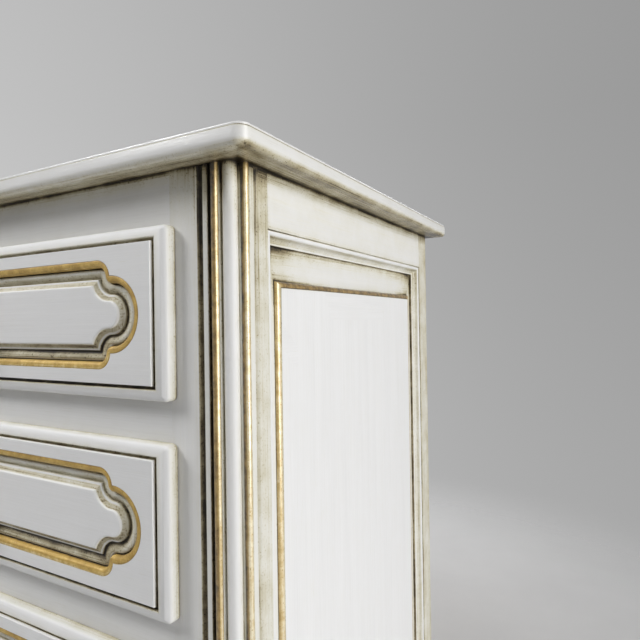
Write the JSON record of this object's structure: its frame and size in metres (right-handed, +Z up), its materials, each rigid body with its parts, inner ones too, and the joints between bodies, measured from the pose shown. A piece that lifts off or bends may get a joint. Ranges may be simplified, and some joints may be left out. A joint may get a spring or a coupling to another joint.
{
  "type": "chest of drawers",
  "caption": "Chest of drawers with framed side panels, moulded fronts with gilded recesses, rounded corner columns, an overhanging top and turned feet.",
  "frame": {"origin": "on the floor, under the middle of the box that the whole chest fills with its drawers closed", "axes": "+X to the chest's right as seen from the front, +Y from the front to the back, +Z up"},
  "size_m": [1.156, 0.5374, 0.9206],
  "materials": {
    "painted_wood": "satin paint in antique white, rubbed, with olive brown glaze in the hollows",
    "gilded_wood": "gilded, rubbed, with dark lines in the hollows",
    "bare_wood": "bare, lightly waxed",
    "brass": "aged"
  },
  "bodies": {
    "carcass": {"top_slab": "painted_wood", "base_board": "painted_wood", "foot_front_left": "painted_wood", "foot_front_right": "painted_wood", "foot_rear_left": "painted_wood", "foot_rear_right": "painted_wood", "front_top_rail": "painted_wood", "drawer_rail_1": "painted_wood", "drawer_rail_2": "painted_wood", "drawer_rail_3": "painted_wood", "front_bottom_rail": "painted_wood", "back_panel": "bare_wood", "front_post_left": "painted_wood", "front_post_right": "painted_wood", "rear_post_left": "painted_wood", "rear_post_right": "painted_wood", "corner_gilt_beads_left": "gilded_wood", "corner_gilt_beads_right": "gilded_wood", "side_top_rail_left": "painted_wood", "side_top_rail_right": "painted_wood", "side_bottom_rail_left": "painted_wood", "side_bottom_rail_right": "painted_wood", "side_panel_left": "painted_wood", "side_panel_right": "painted_wood", "side_panel_moulding_left": "painted_wood", "side_panel_moulding_right": "painted_wood", "side_gilt_frame_left": "gilded_wood", "side_gilt_frame_right": "gilded_wood", "drawer_runners_left": "bare_wood", "drawer_runners_right": "bare_wood"},
    "drawer_1": {"drawer_1_front": "painted_wood", "drawer_1_gilt_moulding": "gilded_wood", "drawer_1_side_left": "bare_wood", "drawer_1_side_right": "bare_wood", "drawer_1_back": "bare_wood", "drawer_1_bottom": "bare_wood", "drawer_1_knobs": "brass"},
    "drawer_2": {"drawer_2_front": "painted_wood", "drawer_2_gilt_moulding": "gilded_wood", "drawer_2_side_left": "bare_wood", "drawer_2_side_right": "bare_wood", "drawer_2_back": "bare_wood", "drawer_2_bottom": "bare_wood", "drawer_2_knobs": "brass"},
    "drawer_3": {"drawer_3_front": "painted_wood", "drawer_3_gilt_moulding": "gilded_wood", "drawer_3_side_left": "bare_wood", "drawer_3_side_right": "bare_wood", "drawer_3_back": "bare_wood", "drawer_3_bottom": "bare_wood", "drawer_3_knobs": "brass"},
    "drawer_4": {"drawer_4_front": "painted_wood", "drawer_4_gilt_moulding": "gilded_wood", "drawer_4_side_left": "bare_wood", "drawer_4_side_right": "bare_wood", "drawer_4_back": "bare_wood", "drawer_4_bottom": "bare_wood", "drawer_4_knobs": "brass"}
  },
  "joints": [
    {"name": "drawer_1_slide", "type": "slide", "parent": "carcass", "child": "drawer_1", "axis": [0, -1, 0], "range_m": [0, 0.33]},
    {"name": "drawer_2_slide", "type": "slide", "parent": "carcass", "child": "drawer_2", "axis": [0, -1, 0], "range_m": [0, 0.33]},
    {"name": "drawer_3_slide", "type": "slide", "parent": "carcass", "child": "drawer_3", "axis": [0, -1, 0], "range_m": [0, 0.33]},
    {"name": "drawer_4_slide", "type": "slide", "parent": "carcass", "child": "drawer_4", "axis": [0, -1, 0], "range_m": [0, 0.33]}
  ]
}
